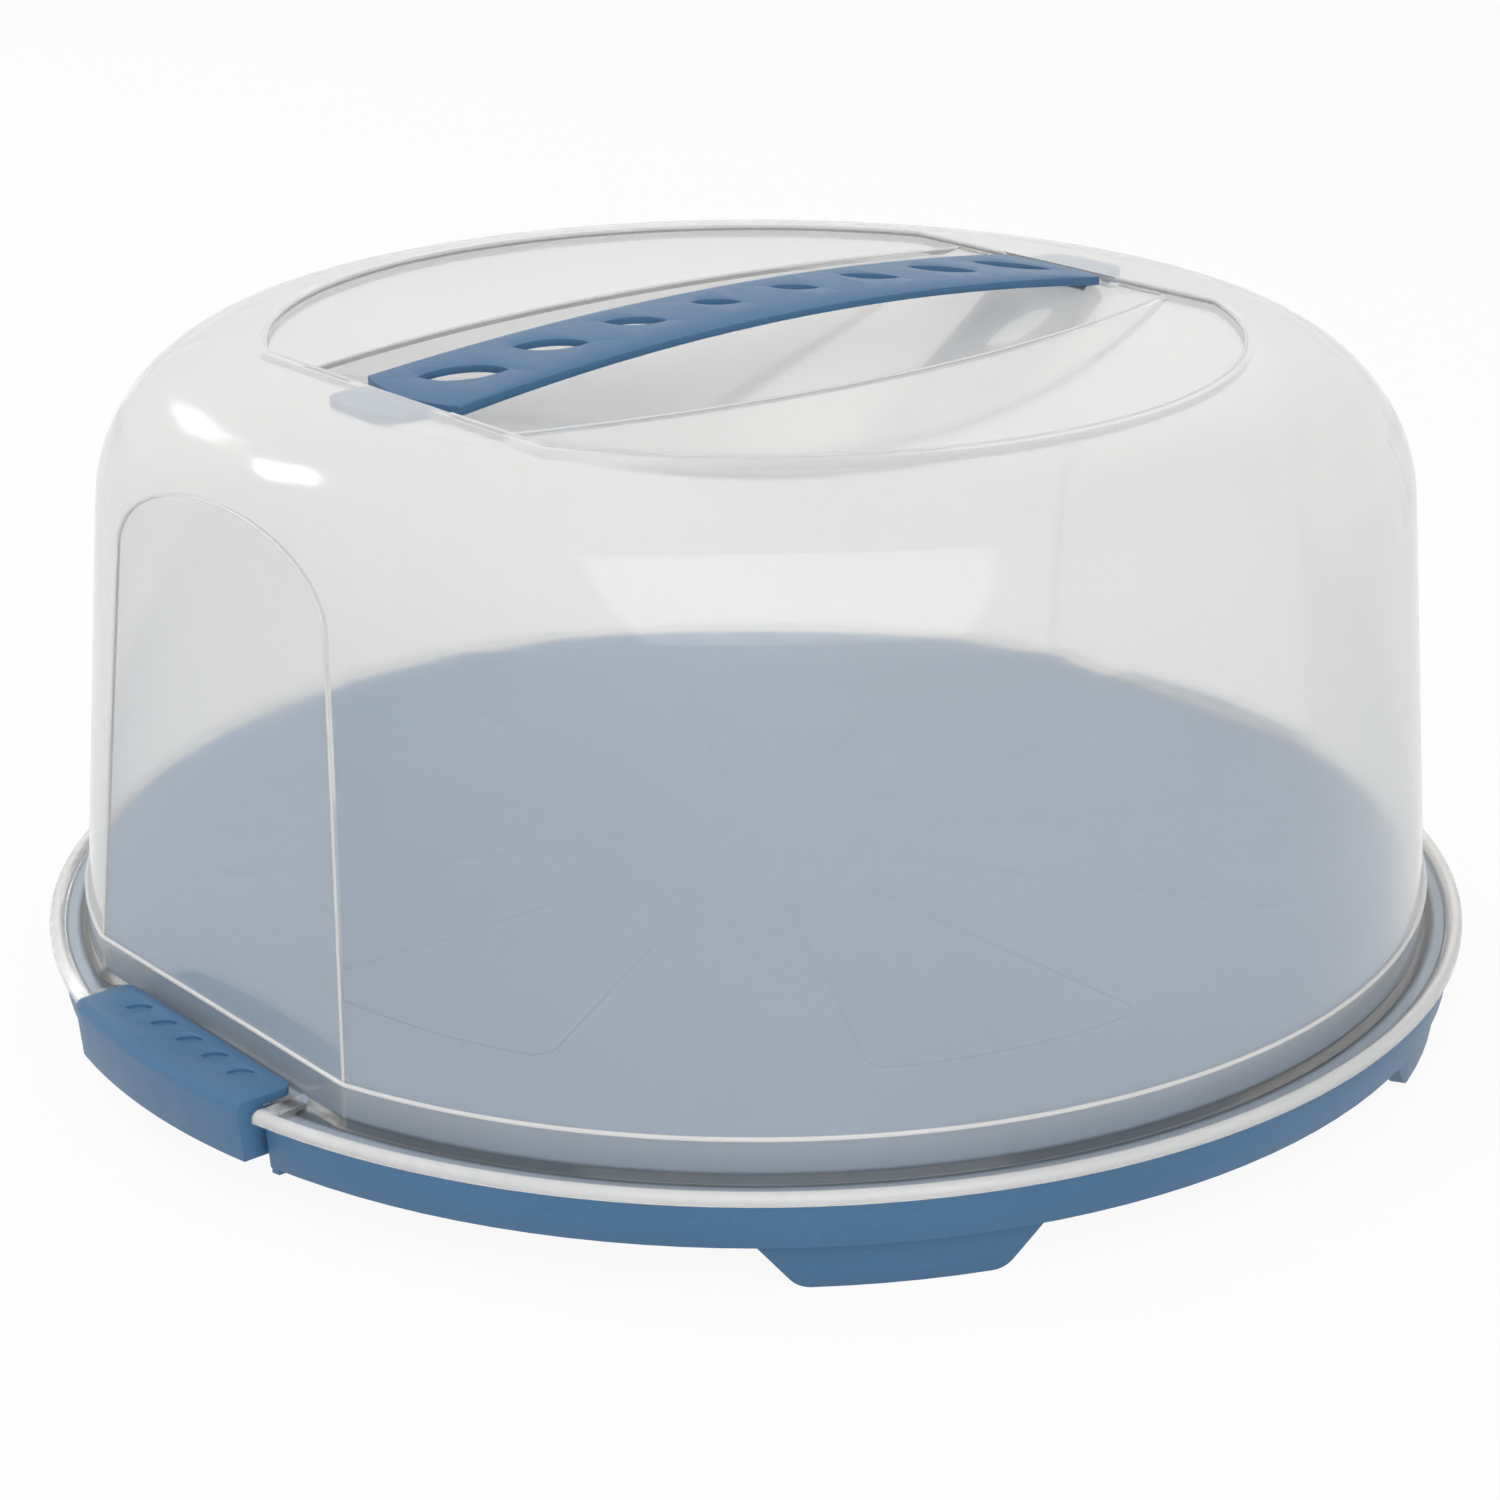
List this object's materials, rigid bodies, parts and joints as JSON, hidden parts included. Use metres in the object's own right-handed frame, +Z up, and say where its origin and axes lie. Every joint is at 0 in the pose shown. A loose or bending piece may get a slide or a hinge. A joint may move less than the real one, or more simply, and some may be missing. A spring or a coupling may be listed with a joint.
{
  "type": "cake carrier",
  "caption": "Round cake carrier: a flat tray on feet, a frosted lift-off dome hood with an arched carry handle on top, and swing-out clips that lock the hood's rim.",
  "frame": {"origin": "middle of the footprint, on the surface that the feet stand on", "axes": "+Z up; +X along the carry handle, from the middle towards the right-hand clip; +Y across the handle"},
  "size_m": [0.3498, 0.345, 0.1675],
  "materials": {
    "hood_plastic": "frosted clear moulding, soft gloss",
    "blue_plastic": "fine-grained satin moulding",
    "pin_plastic": "plain satin moulding, a shade darker"
  },
  "bodies": {
    "base": {"tray_plate": "blue_plastic", "tray_skirt": "blue_plastic", "hinge_pin_left": "pin_plastic", "hinge_pin_right": "pin_plastic"},
    "hood": {"hood": "hood_plastic", "hood_rim_front": "hood_plastic", "hood_rim_rear": "hood_plastic", "hood_seat_left": "hood_plastic", "hood_seat_right": "hood_plastic", "carry_handle": "blue_plastic"},
    "clip_left": {"clip_left": "blue_plastic"},
    "clip_right": {"clip_right": "blue_plastic"}
  },
  "joints": [
    {"name": "hood_lift", "type": "slide", "parent": "base", "child": "hood", "axis": [0, 0, 1], "range_m": [0, 0.16]},
    {"name": "clip_right_hinge", "type": "hinge", "parent": "base", "child": "clip_right", "pos_m": [0.1635, 0, 0.0154], "axis": [0, 1, 0], "range_deg": [0, 110]},
    {"name": "clip_left_hinge", "type": "hinge", "parent": "base", "child": "clip_left", "pos_m": [-0.1635, 0, 0.0154], "axis": [0, -1, 0], "range_deg": [0, 110]}
  ]
}
